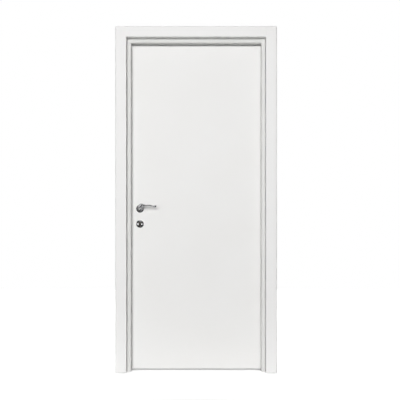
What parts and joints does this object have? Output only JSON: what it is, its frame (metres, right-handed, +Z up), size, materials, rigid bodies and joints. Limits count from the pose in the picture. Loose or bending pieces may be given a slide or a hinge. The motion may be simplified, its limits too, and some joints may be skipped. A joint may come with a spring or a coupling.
{
  "type": "prehung door",
  "caption": "White flush interior door hung in its frame, with flat telescopic casings, a curved lever handle, a key rose and butt hinges.",
  "frame": {"origin": "on the wall-side face of the hinge jamb, at floor level, on the middle plane of the wall", "axes": "+Z up; -Y out of the push side, towards a viewer of the picture; +X from the lock jamb to the hinge jamb"},
  "size_m": [1, 0.1727, 2.143],
  "materials": {
    "frame_paint": "satin white lacquer",
    "casing_paint": "satin white lacquer",
    "leaf_paint": "satin white lacquer",
    "seal_rubber": "matte black",
    "polished_chrome": "polished chrome plate",
    "cylinder_nickel": "nickel plated",
    "lock_steel": "brushed",
    "hinge_steel": "satin nickel plate"
  },
  "bodies": {
    "frame": {"hinge_jamb": "frame_paint", "hinge_stop": "frame_paint", "hinge_seal": "seal_rubber", "hinge_front_casing": "casing_paint", "hinge_back_casing": "casing_paint", "hinge_tongue": "casing_paint", "lock_jamb": "frame_paint", "lock_stop": "frame_paint", "lock_seal": "seal_rubber", "lock_front_casing": "casing_paint", "lock_back_casing": "casing_paint", "lock_tongue": "casing_paint", "head_jamb": "frame_paint", "head_stop": "frame_paint", "head_seal": "seal_rubber", "head_front_casing": "casing_paint", "head_back_casing": "casing_paint", "head_tongue": "casing_paint", "strike_plate": "lock_steel", "low_hinge_frame_flap": "hinge_steel", "low_hinge_pin": "hinge_steel", "middle_hinge_frame_flap": "hinge_steel", "middle_hinge_pin": "hinge_steel", "high_hinge_frame_flap": "hinge_steel", "high_hinge_pin": "hinge_steel"},
    "leaf": {"front_skin": "leaf_paint", "back_skin": "leaf_paint", "hinge_stile": "leaf_paint", "lock_stile": "leaf_paint", "top_rail": "leaf_paint", "bottom_rail": "leaf_paint", "low_hinge_leaf_flap": "hinge_steel", "middle_hinge_leaf_flap": "hinge_steel", "high_hinge_leaf_flap": "hinge_steel", "lock_case": "lock_steel", "latch_bolt": "lock_steel", "dead_bolt": "lock_steel", "front_lever_rose": "polished_chrome", "back_lever_rose": "polished_chrome", "front_key_rose": "polished_chrome", "back_key_rose": "polished_chrome", "key_cylinder": "cylinder_nickel"},
    "levers": {"front_lever": "polished_chrome", "back_lever": "polished_chrome", "spindle": "lock_steel"}
  },
  "joints": [
    {"name": "leaf_swing", "type": "hinge", "parent": "frame", "child": "leaf", "pos_m": [-0.0275, 0.059, 1.0415], "axis": [0, 0, -1], "range_deg": [0, 170]},
    {"name": "lever_turn", "type": "hinge", "parent": "leaf", "child": "levers", "pos_m": [-0.8025, 0.03, 1.018], "axis": [0, 1, 0], "range_deg": [0, 40], "stiffness_Nm_per_rad": 2, "springref_deg": -17.19}
  ]
}
